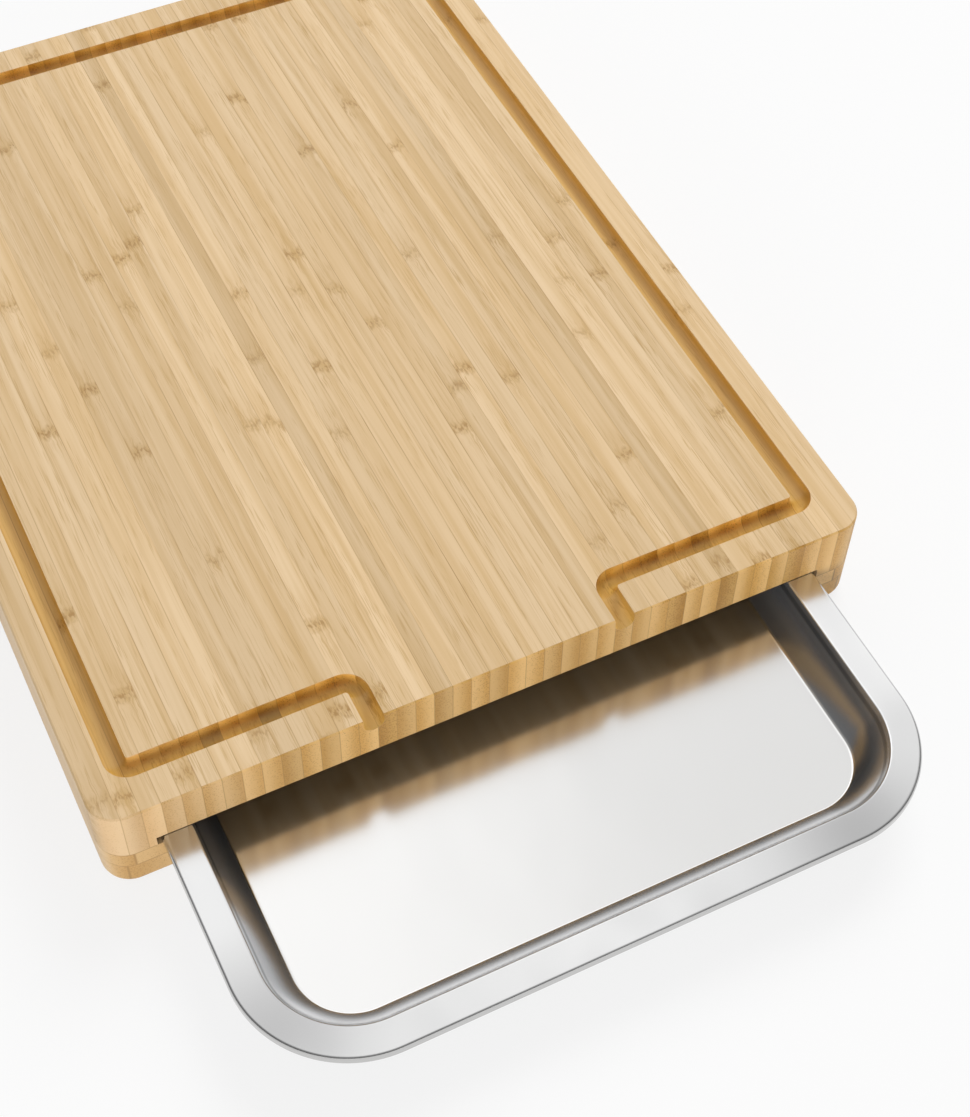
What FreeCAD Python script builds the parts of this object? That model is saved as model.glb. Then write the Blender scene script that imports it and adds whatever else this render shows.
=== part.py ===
import FreeCAD, Part
import math
import os

import Sketcher

# Bamboo carving board on two laminated rails, with a pressed steel drip tray that slides out
# from under it.  Millimetres, +Z up.  The object stands on z = 0 and its origin is the middle
# of the footprint of board and drawn-out tray.  The pieces are drawn in the board's own
# frame (x = 0 mid board, y = 0 at the front face, z = 0 on the table) and then placed.

doc = FreeCAD.newDocument("CarvingBoard")

SIZES = (
    # the board as a whole
    ("board_width", 300.0, "side to side"),
    ("board_depth", 390.0, "front to back"),
    ("corner_radius", 11.0, "upright corners of panel and rails"),
    ("edge_break", 0.6, "bevel along the cutting surface"),
    # edge-glued laths of the panel
    ("panel_thickness", 24.2, "height of a lath"),
    ("lath_count", 42, "side by side in the panel"),
    ("first_lath", 8.64, "leftmost lath, as trimmed"),
    ("last_lath", 5.76, "rightmost lath, as trimmed; the others share the rest"),
    # juice groove and its two outlets
    ("groove_width", 7.8, "also the cutter's diameter"),
    ("groove_depth", 5.0, "depth of the ring"),
    ("outlet_depth", 6.8, "depth of an outlet at the front face"),
    ("groove_side_margin", 11.5, "board side to groove edge"),
    ("groove_end_margin", 14.0, "front or back face to groove edge"),
    ("groove_bend", 5.0, "centre line radius of every turn"),
    ("groove_shift", 1.0, "ring and outlets lie this far to the left"),
    ("outlet_spacing", 97.8, "between the two outlets"),
    # recess under the panel, front to back, that takes the tray's rim
    ("slot_width", 262.6, "between its side walls"),
    ("slot_height", 4.4, "depth of the recess"),
    # rails: two plies of bamboo
    ("rail_clear", 5.0, "side rail to the tray's wall"),
    ("stop_clear", 1.9, "rear rail to the closed tray's wall"),
    ("upper_ply", 7.4, "ply under the panel"),
    ("lower_ply", 12.4, "ply on the table"),
    ("upper_joint", 10.2, "outer lath of the upper ply"),
    ("lower_joint", 7.0, "outer lath of the lower ply"),
    ("base_round", 4.0, "rounding along the table"),
    # pressed tray
    ("sheet", 0.7, "sheet thickness"),
    ("tray_side_gap", 1.75, "rim to slot wall"),
    ("tray_end_gap", 1.0, "rim to the back face when closed"),
    ("slide_gap", 0.3, "lip above the rail"),
    ("lip_height", 3.75, "turned-down edge of the rim"),
    ("rim_width", 10.5, "flat rim with its edge bend"),
    ("wall_run", 12.0, "how far a wall leans in"),
    ("wall_hollow", 41.0, "radius of the wall's hollow curve"),
    ("tray_depth", 15.6, "rim to floor"),
    ("tray_corner", 43.5, "outer radius of the rim"),
    ("edge_bend", 1.6, "outer radius of the lip bend"),
    ("rim_bend", 1.0, "upper radius from rim to wall"),
    ("floor_bend", 1.2, "inner radius from wall to floor"),
    ("floor_strip", 5.0, "floor swept with the wall"),
    ("tray_out", 104.0, "rim ahead of the front face as stored"),
)

RAIL_HEIGHT = "(Sizes.upper_ply + Sizes.lower_ply)"
BOARD_HEIGHT = f"({RAIL_HEIGHT} + Sizes.panel_thickness)"
FRAME_Y = "(Sizes.tray_out - Sizes.board_depth) / 2"
TRAY_LENGTH = "(Sizes.board_depth - Sizes.tray_end_gap)"
TRAY_HALF_WIDTH = "(Sizes.slot_width / 2 - Sizes.tray_side_gap)"
# how far inside the rim's edge the tray's wall comes down past the tops of the rails
WALL_INSET = ("(Sizes.rim_width + Sizes.wall_run * (Sizes.lip_height + Sizes.slide_gap)"
              " / Sizes.tray_depth)")
RAIL_FACE = f"({TRAY_HALF_WIDTH} - {WALL_INSET} + Sizes.rail_clear)"
REAR_RAIL_FACE = f"(Sizes.board_depth - Sizes.tray_end_gap - {WALL_INSET} + Sizes.stop_clear)"
LATH_PITCH = ("((Sizes.board_width - Sizes.first_lath - Sizes.last_lath)"
              " / (Sizes.lath_count - 2))")
OVERSIZE = 5.0    # how far a cutting tool stands clear of the wood


def make_sheet():
    sheet = doc.addObject("Spreadsheet::Sheet", "Sizes")
    for row, (name, value, note) in enumerate(SIZES, start=1):
        sheet.set(f"A{row}", name)
        sheet.set(f"B{row}", str(value))
        sheet.set(f"C{row}", note)
        sheet.setAlias(f"B{row}", name)
    doc.recompute()
    return sheet


sizes = make_sheet()


def value_of(expression):
    """The number that an expression on the sheet comes to now."""
    result = sizes.evalExpression(expression.replace("Sizes.", ""))
    return float(getattr(result, "Value", result))


# ---------------------------------------------------------------- sketch helpers

def new_sketch(body, name, role, offset="0"):
    """A sketch on one of the body's origin planes, moved along the plane's normal."""
    sketch = body.newObject("Sketcher::SketchObject", name)
    plane = next(item for item in body.Origin.OriginFeatures if item.Role == role)
    sketch.AttachmentSupport = (plane, "")
    sketch.MapMode = "FlatFace"
    sketch.setExpression(".AttachmentOffset.Base.z", offset)
    return sketch


def point(x, y):
    """A place in a sketch."""
    return FreeCAD.Vector(x, y, 0)


def arc_between(centre, start, end):
    """Arc drawn anticlockwise from one point to another."""
    angles = [math.atan2(place.y - centre.y, place.x - centre.x) for place in (start, end)]
    circle = Part.Circle(centre, FreeCAD.Vector(0, 0, 1), (start - centre).Length)
    return Part.ArcOfCircle(circle, *angles)


def dimension(sketch, constraint, name, expression):
    """Add a named dimension and bind it to the sheet."""
    index = sketch.addConstraint(constraint)
    sketch.renameConstraint(index, name)
    sketch.setExpression(f"Constraints.{name}", expression)


def hold(sketch, axis, geometry, point, name, expression):
    """Fix a point's x or y by its distance from the sketch's origin."""
    kind = "DistanceX" if axis == "x" else "DistanceY"
    place = value_of(expression)
    if place == 0:
        other_axis = -2 if axis == "x" else -1
        sketch.addConstraint(Sketcher.Constraint("PointOnObject", geometry, point, other_axis))
    elif place < 0:
        constraint = Sketcher.Constraint(kind, geometry, point, -1, 1, -place)
        dimension(sketch, constraint, name, f"-({expression})")
    else:
        constraint = Sketcher.Constraint(kind, -1, 1, geometry, point, place)
        dimension(sketch, constraint, name, expression)


def corner_arc(before, corner, after, radius):
    """Tangent arc that rounds a corner: its geometry, where it meets both lines, its turn."""
    way_in = (corner - before).normalize()
    way_out = (after - corner).normalize()
    turn = math.atan2(way_in.x * way_out.y - way_in.y * way_out.x, way_in.dot(way_out))
    reach = radius * math.tan(abs(turn) / 2)
    entry = corner - way_in * reach
    leave = corner + way_out * reach
    side = point(-way_in.y, way_in.x) * math.copysign(radius, turn)
    start, end = (entry, leave) if turn > 0 else (leave, entry)
    return arc_between(entry + side, start, end), entry, leave, turn > 0


def draw_track(sketch, sides, radius, ends=None):
    """Square-cornered outline with rounded turns, fully dimensioned.

    sides are (axis, expression) pairs, each a line at x or at y.  Without ends the outline
    closes; ends gives the y at which an open one starts and stops.
    """
    places = [(axis, value_of(expression)) for axis, expression in sides]
    bend = value_of(radius)
    closed = ends is None

    def crossing(one, other):
        return point(one[1], other[1]) if one[0] == "x" else point(other[1], one[1])

    corners = [crossing(one, other) for one, other in zip(places, places[1:])]
    if closed:
        corners.append(crossing(places[-1], places[0]))
    else:
        start = point(places[0][1], value_of(ends))
        stop = point(places[-1][1], value_of(ends))
        corners = [start] + corners + [stop]

    count = len(corners)
    turns = range(count) if closed else range(1, count - 1)
    arcs = {}
    for turn in turns:
        arcs[turn] = corner_arc(corners[turn - 1], corners[turn], corners[(turn + 1) % count], bend)

    lines, bends = [], []
    for number in range(len(sides)):
        first, last = (number - 1) % count if closed else number, number if closed else number + 1
        begin = arcs[first][2] if first in arcs else corners[first]
        finish = arcs[last][1] if last in arcs else corners[last]
        lines.append(sketch.addGeometry(Part.LineSegment(begin, finish)))
        if last in arcs:
            bends.append((sketch.addGeometry(arcs[last][0]), arcs[last][3]))

    for number, (bend_id, left) in enumerate(bends):
        entry, leave = (1, 2) if left else (2, 1)
        following = lines[(number + 1) % len(lines)]
        sketch.addConstraint(Sketcher.Constraint("Tangent", lines[number], 2, bend_id, entry))
        sketch.addConstraint(Sketcher.Constraint("Tangent", bend_id, leave, following, 1))
        dimension(sketch, Sketcher.Constraint("Radius", bend_id, bend), f"bend{number}", radius)
    for number, (axis, expression) in enumerate(sides):
        kind = "Vertical" if axis == "x" else "Horizontal"
        sketch.addConstraint(Sketcher.Constraint(kind, lines[number]))
        hold(sketch, axis, lines[number], 1, f"side{number}", expression)
    if not closed:
        hold(sketch, "y", lines[0], 1, "start", ends)
        hold(sketch, "y", lines[-1], 2, "stop", ends)
    return lines


def rectangle_sides(half_width, front, back):
    """The four sides of a rectangle, anticlockwise from the right."""
    return (("x", half_width), ("y", back), ("x", f"-({half_width})"), ("y", front))


def draw_rectangle(sketch, half_width, front, back):
    """Square-cornered rectangle, symmetric about x = 0."""
    half, low, high = (value_of(expression) for expression in (half_width, front, back))
    corners = [point(half, low), point(half, high), point(-half, high), point(-half, low)]
    sides = [sketch.addGeometry(Part.LineSegment(corners[number], corners[(number + 1) % 4]))
             for number in range(4)]
    for number, side in enumerate(sides):
        following = sides[(number + 1) % 4]
        kind = "Horizontal" if number % 2 else "Vertical"
        sketch.addConstraint(Sketcher.Constraint("Coincident", side, 2, following, 1))
        sketch.addConstraint(Sketcher.Constraint(kind, side))
    hold(sketch, "x", sides[0], 1, "right", half_width)
    hold(sketch, "x", sides[2], 1, "left", f"-({half_width})")
    hold(sketch, "y", sides[1], 1, "back", back)
    hold(sketch, "y", sides[3], 1, "front", front)


def pad(body, sketch, length, reverse=False):
    feature = body.newObject("PartDesign::Pad", f"{sketch.Name}_pad")
    feature.Profile = sketch
    feature.Reversed = reverse
    feature.setExpression("Length", length)
    return feature


def pocket(body, sketch, length, reverse=False):
    feature = body.newObject("PartDesign::Pocket", f"{sketch.Name}_cut")
    feature.Profile = sketch
    feature.Reversed = reverse
    feature.setExpression("Length", length)
    return feature


def dress_edges(body, base, kind, name, size, height):
    """Round or bevel every edge of the base feature that lies flat at the given height."""
    doc.recompute()
    level = value_of(height)
    chosen = [
        f"Edge{number}" for number, edge in enumerate(base.Shape.Edges, start=1)
        if abs(edge.BoundBox.ZMin - level) < 1e-4 and abs(edge.BoundBox.ZMax - level) < 1e-4
    ]
    dressing = body.newObject(f"PartDesign::{kind}", name)
    dressing.Base = (base, chosen)
    dressing.setExpression("Radius" if kind == "Fillet" else "Size", size)
    return dressing


# ---------------------------------------------------------------- glued-up panel

def draw_cutter(sketch, centre, depth):
    """Round-nosed cutter's outline: half round below, straight sides to above the wood."""
    radius = "Sizes.groove_width / 2"
    x, low = value_of(centre), value_of(f"{BOARD_HEIGHT} - {depth} + {radius}")
    high, r = value_of(BOARD_HEIGHT) + OVERSIZE, value_of(radius)
    corners = [point(x + r, low), point(x + r, high), point(x - r, high), point(x - r, low)]
    nose = sketch.addGeometry(arc_between(point(x, low), corners[-1], corners[0]))
    sides = [sketch.addGeometry(Part.LineSegment(one, other))
             for one, other in zip(corners, corners[1:])]
    add = sketch.addConstraint
    add(Sketcher.Constraint("Tangent", nose, 2, sides[0], 1))
    add(Sketcher.Constraint("Coincident", sides[0], 2, sides[1], 1))
    add(Sketcher.Constraint("Coincident", sides[1], 2, sides[2], 1))
    add(Sketcher.Constraint("Tangent", sides[2], 2, nose, 1))
    add(Sketcher.Constraint("Vertical", sides[0]))
    add(Sketcher.Constraint("Horizontal", sides[1]))
    add(Sketcher.Constraint("Vertical", sides[2]))
    dimension(sketch, Sketcher.Constraint("Radius", nose, r), "nose", radius)
    hold(sketch, "x", nose, 3, "centre", centre)
    hold(sketch, "y", nose, 3, "floor", f"{BOARD_HEIGHT} - {depth} + {radius}")
    hold(sketch, "y", sides[1], 1, "top", f"{BOARD_HEIGHT} + {OVERSIZE}")


def make_panel():
    """The panel before it is told apart into laths: outline, recess, groove and outlets."""
    body = doc.addObject("PartDesign::Body", "panel_form")

    outline = new_sketch(body, "panel_outline", "XY_Plane", RAIL_HEIGHT)
    draw_track(outline, rectangle_sides("Sizes.board_width / 2", "0", "Sizes.board_depth"),
               "Sizes.corner_radius")
    blank = pad(body, outline, "Sizes.panel_thickness")
    dress_edges(body, blank, "Chamfer", "top_edges", "Sizes.edge_break", BOARD_HEIGHT)

    recess = new_sketch(body, "rim_recess", "XY_Plane", RAIL_HEIGHT)
    draw_rectangle(recess, "Sizes.slot_width / 2", f"-{OVERSIZE}",
                   f"Sizes.board_depth + {OVERSIZE}")
    pocket(body, recess, "Sizes.slot_height", reverse=True)

    shift, half_cutter = "-Sizes.groove_shift", "Sizes.groove_width / 2"
    left = f"{shift} - Sizes.board_width / 2 + Sizes.groove_side_margin + {half_cutter}"
    right = f"{shift} + Sizes.board_width / 2 - Sizes.groove_side_margin - {half_cutter}"
    front = f"Sizes.groove_end_margin + {half_cutter}"
    back = f"Sizes.board_depth - ({front})"
    outlets = (f"{shift} - Sizes.outlet_spacing / 2", f"{shift} + Sizes.outlet_spacing / 2")
    centre_line = new_sketch(body, "groove_line", "XY_Plane", BOARD_HEIGHT)
    draw_track(centre_line, (("x", outlets[0]), ("y", front), ("x", left), ("y", back),
                             ("x", right), ("y", front), ("x", outlets[1])),
               "Sizes.groove_bend", ends=str(-OVERSIZE))
    cutter = new_sketch(body, "groove_cutter", "XZ_Plane", str(OVERSIZE))
    draw_cutter(cutter, outlets[0], "Sizes.groove_depth")
    groove = body.newObject("PartDesign::SubtractivePipe", "groove")
    groove.Profile = cutter
    groove.Spine = (centre_line, [])

    # each outlet falls from the ring's depth to its own at the front face
    slope = "(Sizes.outlet_depth - Sizes.groove_depth)"
    start = f"({front} - Sizes.groove_bend)"
    for name, centre in zip(("left", "right"), outlets):
        inner = new_sketch(body, f"{name}_outlet_inner", "XZ_Plane", f"-{start}")
        draw_cutter(inner, centre, "Sizes.groove_depth")
        outer = new_sketch(body, f"{name}_outlet_outer", "XZ_Plane", str(OVERSIZE))
        draw_cutter(outer, centre,
                    f"(Sizes.outlet_depth + {slope} * {OVERSIZE} / {start})")
        channel = body.newObject("PartDesign::SubtractiveLoft", f"{name}_outlet")
        channel.Profile = inner
        channel.Sections = [outer]
        channel.Ruled = True
    doc.recompute()
    return body


# ---------------------------------------------------------------- pieces cut from a form

def saw_piece(form, name, x_from, x_to, z_from, z_to):
    """The part of a glued-up form that lies between two planes each way in x and z."""
    stock = doc.addObject("Part::Box", f"{name}_stock")
    stock.setExpression("Length", f"{x_to} - ({x_from})")
    stock.setExpression("Width", f"Sizes.board_depth + {2 * OVERSIZE}")
    stock.setExpression("Height", f"{z_to} - ({z_from})")
    stock.setExpression(".Placement.Base.x", x_from)
    stock.Placement.Base.y = -OVERSIZE
    stock.setExpression(".Placement.Base.z", z_from)
    piece = doc.addObject("Part::Common", name)
    piece.Label = name
    piece.Base = form
    piece.Tool = stock
    piece.setExpression(".Placement.Base.y", FRAME_Y)
    return piece


def make_laths(panel):
    """Upright laths of one width, side by side, but for the two that trimming has changed."""
    left_edge, right_edge = "-Sizes.board_width / 2", "Sizes.board_width / 2"
    joints = [f"{left_edge} + Sizes.first_lath + {number} * {LATH_PITCH}"
              for number in range(round(value_of("Sizes.lath_count")) - 1)]
    edges = [left_edge] + joints + [right_edge]
    low, high = f"{RAIL_HEIGHT} - {OVERSIZE}", f"{BOARD_HEIGHT} + {OVERSIZE}"
    return [saw_piece(panel, f"lath_{number:02d}", edges[number - 1], edges[number], low, high)
            for number in range(1, len(edges))]


# ---------------------------------------------------------------- rails

def make_rail_frame():
    """Both side rails and the rear rail in one outline, rounded along the table."""
    body = doc.addObject("PartDesign::Body", "rail_form")
    outline = new_sketch(body, "rail_outline", "XY_Plane")
    draw_track(outline, rectangle_sides("Sizes.board_width / 2", "0", "Sizes.board_depth"),
               "Sizes.corner_radius")
    blank = pad(body, outline, RAIL_HEIGHT)
    dress_edges(body, blank, "Fillet", "base_edges", "Sizes.base_round", "0")

    bay = new_sketch(body, "tray_bay", "XY_Plane")
    draw_rectangle(bay, RAIL_FACE, f"-{OVERSIZE}", REAR_RAIL_FACE)
    pocket(body, bay, RAIL_HEIGHT, reverse=True)
    return body


def make_rail_pieces(frame):
    """Two plies; each is a narrow outer and a wide inner lath in a side rail."""
    pieces = []
    plies = (
        ("upper", "Sizes.lower_ply", RAIL_HEIGHT, "Sizes.upper_joint"),
        ("lower", "0", "Sizes.lower_ply", "Sizes.lower_joint"),
    )
    edge = "Sizes.board_width / 2"
    for ply, low, high, joint in plies:
        line = f"{edge} - ({joint})"
        cuts = (
            (f"left_rail_{ply}_outer", f"-{edge}", f"-({line})"),
            (f"left_rail_{ply}_inner", f"-({line})", f"-{RAIL_FACE}"),
            (f"right_rail_{ply}_inner", RAIL_FACE, line),
            (f"right_rail_{ply}_outer", line, edge),
            (f"rear_rail_{ply}", f"-{RAIL_FACE}", RAIL_FACE),
        )
        for name, x_from, x_to in cuts:
            pieces.append(saw_piece(frame, name, x_from, x_to, low, high))
    return pieces


# ---------------------------------------------------------------- pressed tray

def draw_sheet_section(sketch):
    """Section of the pressed sheet from the rim's edge inwards: lip, rim, wall and floor.

    The wall is hollow towards the food, steep below the rim and flatter above the floor.
    The upper skin is rounded at all three bends.  The lower skin lies one thickness below,
    rounded with it at the floor and left plain inside the two tight bends of the rim.
    """
    sheet, lip, depth = (value_of(f"Sizes.{name}")
                         for name in ("sheet", "lip_height", "tray_depth"))
    edge_bend, rim_bend, floor_bend = (value_of(f"Sizes.{name}_bend")
                                       for name in ("edge", "rim", "floor"))
    hollow = value_of("Sizes.wall_hollow")
    edge = value_of(TRAY_HALF_WIDTH)
    rim_end = edge - value_of("Sizes.rim_width")
    floor_start = rim_end - value_of("Sizes.wall_run")
    floor_end = floor_start - value_of("Sizes.floor_strip")

    # the wall's arc runs outside the rim bend and round the floor bend, touching both
    edge_centre = point(edge - edge_bend, -edge_bend)
    rim_centre = point(rim_end, -rim_bend)
    floor_centre = point(floor_start, floor_bend - depth)
    to_rim, to_floor = hollow + rim_bend, hollow - floor_bend
    span = floor_centre - rim_centre
    along = (to_rim ** 2 - to_floor ** 2 + span.Length ** 2) / (2 * span.Length)
    aside = math.sqrt(to_rim ** 2 - along ** 2)
    span.normalize()
    wall_centre = rim_centre + span * along + point(span.y, -span.x) * aside
    wall_top = rim_centre + (wall_centre - rim_centre) * (rim_bend / to_rim)
    outwards = (floor_centre - wall_centre).normalize()
    wall_foot = floor_centre + outwards * floor_bend
    foot_below = floor_centre + outwards * (floor_bend + sheet)
    drop = -sheet - wall_centre.y
    corner_below = point(wall_centre.x + math.sqrt((hollow + sheet) ** 2 - drop ** 2), -sheet)

    def line(start, end):
        return sketch.addGeometry(Part.LineSegment(start, end))

    def arc(centre, start, end):
        return sketch.addGeometry(arc_between(centre, start, end))

    def add(kind, *where):
        sketch.addConstraint(Sketcher.Constraint(kind, *where))

    lip_out = line(point(edge, -lip), point(edge, -edge_bend))
    edge_arc = arc(edge_centre, point(edge, -edge_bend), point(edge - edge_bend, 0))
    rim = line(point(edge - edge_bend, 0), point(rim_end, 0))
    rim_arc = arc(rim_centre, point(rim_end, 0), wall_top)
    wall = arc(wall_centre, wall_foot, wall_top)
    floor_arc = arc(floor_centre, point(floor_start, -depth), wall_foot)
    floor = line(point(floor_start, -depth), point(floor_end, -depth))

    lip_in = line(point(edge - sheet, -lip), point(edge - sheet, -sheet))
    rim_below = line(point(edge - sheet, -sheet), corner_below)
    wall_below = arc(wall_centre, foot_below, corner_below)
    arc_below = arc(floor_centre, point(floor_start, -depth - sheet), foot_below)
    floor_below = line(point(floor_start, -depth - sheet), point(floor_end, -depth - sheet))

    lip_edge = line(point(edge - sheet, -lip), point(edge, -lip))
    strip_end = line(point(floor_end, -depth), point(floor_end, -depth - sheet))

    for one, end, other, start in (
            (lip_out, 2, edge_arc, 1), (edge_arc, 2, rim, 1), (rim, 2, rim_arc, 1),
            (rim_arc, 2, wall, 2), (wall, 1, floor_arc, 2), (floor_arc, 1, floor, 1),
            (wall_below, 1, arc_below, 2), (arc_below, 1, floor_below, 1)):
        add("Tangent", one, end, other, start)
    for one, end, other, start in (
            (lip_in, 2, rim_below, 1), (rim_below, 2, wall_below, 2), (lip_in, 1, lip_edge, 1),
            (lip_out, 1, lip_edge, 2), (floor, 2, strip_end, 1), (floor_below, 2, strip_end, 2),
            (floor_arc, 3, arc_below, 3), (wall, 3, wall_below, 3)):
        add("Coincident", one, end, other, start)
    for upright in (lip_out, lip_in, strip_end):
        add("Vertical", upright)
    for level in (rim, floor, rim_below, floor_below, lip_edge):
        add("Horizontal", level)

    for arc, radius, name in ((edge_arc, edge_bend, "edge_bend"), (rim_arc, rim_bend, "rim_bend"),
                              (wall, hollow, "wall_hollow"), (floor_arc, floor_bend, "floor_bend")):
        dimension(sketch, Sketcher.Constraint("Radius", arc, radius), name, f"Sizes.{name}")
    dimension(sketch, Sketcher.Constraint("Radius", arc_below, floor_bend + sheet),
              "bend_below", "Sizes.floor_bend + Sizes.sheet")
    rim_end_place = f"{TRAY_HALF_WIDTH} - Sizes.rim_width"
    floor_start_place = f"{rim_end_place} - Sizes.wall_run"
    for axis, geometry, end, name, place in (
            ("x", lip_out, 1, "edge", TRAY_HALF_WIDTH),
            ("y", lip_out, 1, "lip", "-Sizes.lip_height"),
            ("y", rim, 1, "rim", "0"),
            ("x", rim, 2, "rim_end", rim_end_place),
            ("x", floor, 1, "floor_start", floor_start_place),
            ("y", floor, 1, "floor", "-Sizes.tray_depth"),
            ("x", floor, 2, "floor_end", f"{floor_start_place} - Sizes.floor_strip"),
            ("x", lip_in, 1, "lip_in", f"{TRAY_HALF_WIDTH} - Sizes.sheet"),
            ("y", rim_below, 1, "rim_below", "-Sizes.sheet")):
        hold(sketch, axis, geometry, end, name, place)


def make_tray():
    """One sheet: lip, rim and wall swept round the rim's outline, and a flat floor."""
    body = doc.addObject("PartDesign::Body", "tray")
    body.Label = "tray"
    line = new_sketch(body, "tray_line", "XY_Plane")
    outline = rectangle_sides(TRAY_HALF_WIDTH, f"-{TRAY_LENGTH} / 2", f"{TRAY_LENGTH} / 2")
    # once round, from the middle of the right side, where the section stands
    draw_track(line, outline + outline[:1], "Sizes.tray_corner", ends="0")
    section = new_sketch(body, "sheet_section", "XZ_Plane")
    draw_sheet_section(section)
    wall = body.newObject("PartDesign::AdditivePipe", "tray_wall")
    wall.Profile = section
    wall.Spine = (line, [])
    doc.recompute()

    # the floor overlaps the swept strip by half its width
    taken = "(Sizes.rim_width + Sizes.wall_run + Sizes.floor_strip / 2)"
    floor = new_sketch(body, "tray_floor", "XY_Plane", "-Sizes.tray_depth - Sizes.sheet")
    draw_track(floor, rectangle_sides(f"{TRAY_HALF_WIDTH} - {taken}",
                                      f"{taken} - {TRAY_LENGTH} / 2",
                                      f"{TRAY_LENGTH} / 2 - {taken}"),
               f"Sizes.tray_corner - {taken}")
    pad(body, floor, "Sizes.sheet")
    body.setExpression(".Placement.Base.y", f"{FRAME_Y} - Sizes.tray_out + {TRAY_LENGTH} / 2")
    body.setExpression(".Placement.Base.z",
                       f"{RAIL_HEIGHT} + Sizes.slide_gap + Sizes.lip_height")
    return body


# ---------------------------------------------------------------- assembly and export

def check(pieces):
    """Stop if any object failed or any piece is not one valid solid."""
    for item in doc.Objects:
        if "Invalid" in item.State or "Error" in item.State:
            raise RuntimeError(f"{item.Name} failed: {item.State}")
    for piece in pieces:
        shape = piece.Shape
        if shape.isNull() or not shape.isValid() or len(shape.Solids) != 1:
            raise RuntimeError(f"{piece.Label} is not one valid solid")


panel_form = make_panel()
rail_form = make_rail_frame()
parts = make_laths(panel_form) + make_rail_pieces(rail_form) + [make_tray()]
doc.recompute()
check(parts)

os.makedirs("parts", exist_ok=True)
for part in parts:
    part.Shape.exportStep(f"parts/{part.Label}.step")
print(f"{len(parts)} pieces, {sum(part.Shape.Volume for part in parts) / 1000:.1f} cm3")
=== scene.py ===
"""Looks of the bamboo carving board with its steel drip tray: camera, light and materials."""

import math
import random
from collections import namedtuple

import bpy
from mathutils import Euler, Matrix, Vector


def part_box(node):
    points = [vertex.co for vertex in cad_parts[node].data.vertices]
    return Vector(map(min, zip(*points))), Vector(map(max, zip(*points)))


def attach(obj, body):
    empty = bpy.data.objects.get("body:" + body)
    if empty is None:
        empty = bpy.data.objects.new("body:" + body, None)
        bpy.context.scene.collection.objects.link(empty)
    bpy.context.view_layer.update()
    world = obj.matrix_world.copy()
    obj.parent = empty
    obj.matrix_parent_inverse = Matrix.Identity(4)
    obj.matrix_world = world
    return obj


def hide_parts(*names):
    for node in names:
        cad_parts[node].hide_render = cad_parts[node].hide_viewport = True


MM = 0.001

# camera: a 64.5 mm lens, seen from the front left
LENS_MM = 64.493
SENSOR_MM = 36.0
CAMERA_PLACE = (-0.18341, -0.48318, 0.62599)
CAMERA_TURN_DEG = (36.642, -0.816, -26.074)
CAMERA_CLIP = (0.01, 50.0)

# light: a soft key from the right and behind, and a low fill from the front left
WORLD_LEVEL = 0.42
KEY_PLACE = (2.1, 2.1, 2.7)
KEY_SIZE = 2.5
KEY_WATTS = 123.0
FILL_PLACE = (-0.9, -1.65, 0.3)
FILL_SIZE = 0.8
FILL_WATTS = 23.0
# what shows in gloss: a bright ceiling that is dimmer to the right, and brighter and lower at
# the back, over walls that darken downwards, and a soft window low behind the right.  An edge
# is where a direction's share of x, y or z starts and ends its change.
CEILING_LEVEL = 1.62
CEILING_EDGE = (0.58, 0.84)
CEILING_FALL = 0.36
DIM_SIDE_EDGE = (0.17, 0.31)
CEILING_DIP = 0.24
BACK_RISE = 0.6
BACK_EDGE = (0.42, 0.72)
WALL_LEVEL = 0.06
WALL_RISE = 0.90
WINDOW_PLACE = (0.72, 0.55, 0.42)
WINDOW_EDGE = (0.86, 0.98)
WINDOW_LEVEL = 0.8

FLOOR_SIZE = 12.0
FLOOR_DROP = 0.0004    # just under the rails
FLOOR_COLOR = (0.86, 0.86, 0.86, 1.0)
FLOOR_GLOW = 0.80

# sheet section of the tray, in mm, from the rim's edge inwards
SHEET = 0.7
RIM_WIDTH = 10.5
WALL_RUN = 12.0
WALL_HOLLOW = 41.0
TRAY_CORNER = 43.5
LIP = 3.75
EDGE_BEND = 1.6
RIM_BEND = 1.0
FLOOR_BEND = 1.2
ARC_STEP_DEG = 5.0
CORNER_STEPS = 36
SHARP_DEG = 40

# satin steel, with lengths in metres
FLOOR_STEEL = (0.585, 0.582, 0.576, 1.0)
STEEL_ROUGHNESS = 0.19
STEEL_RELIEF = 0.0005
CLOUD_SCALE = (16.0, 11.0, 11.0)
# rim: where it starts below its height, its level at the left and at the right and where it
# changes, a painted reflection that is darker at the left, what clouds take off it, and where it
# is darker, in shares of the tray's half size
RIM_START = (1.2 * MM, 0.3 * MM)
RIM_REFLECTION_LEFT, RIM_REFLECTION_RIGHT = 0.49, 0.62
RIM_REFLECTION_CHANGE = (-0.6, 0.3)
CLOUD_EDGE = (0.42, 0.62)
CLOUD_GAIN, CLOUD_BASE = -0.14, 1.06
DARK_SPOTS = ((-0.93, -0.88), (0.66, -0.98))
DARK_SPOT_RADIUS = 0.042
DARK_SPOT_LEVEL = 0.66
# wall: how far it faces the middle, where it starts above the floor, and its tint, darker and
# cooler than the floor as painted reflection: a painted dark reflection band below the rim and a
# painted darker foot, by the share of the drop from rim to floor
WALL_REFLECTED_STEEL = (0.425, 0.435, 0.452)
WALL_METALLIC = 0.85
WALL_FACING = (0.0, 0.01)
WALL_START = (0.3 * MM, 1.0 * MM)
WALL_BASE = 1.15
REFLECTED_DARK_BAND = ((0.10, 0.16), (0.21, 0.27))
REFLECTED_DARK_BAND_GAIN = -0.55
WALL_FOOT = (0.40, 0.92)
WALL_FOOT_LOSS = 0.55

# laths with dense dark fibres, laths that the cutter has burnt, laths of another tone than the
# rest (lath 1 darker as painted shade, where the fill falls full on the corner), and how many
# from the left have pale ends
DARK_LATHS = (15, 31, 34, 38)
BURNT_LATHS = (7, 10)
OWN_TONES_AND_SHADE = {1: 0.94, 40: 1.08}
PALE_END_LATHS = 10
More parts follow.
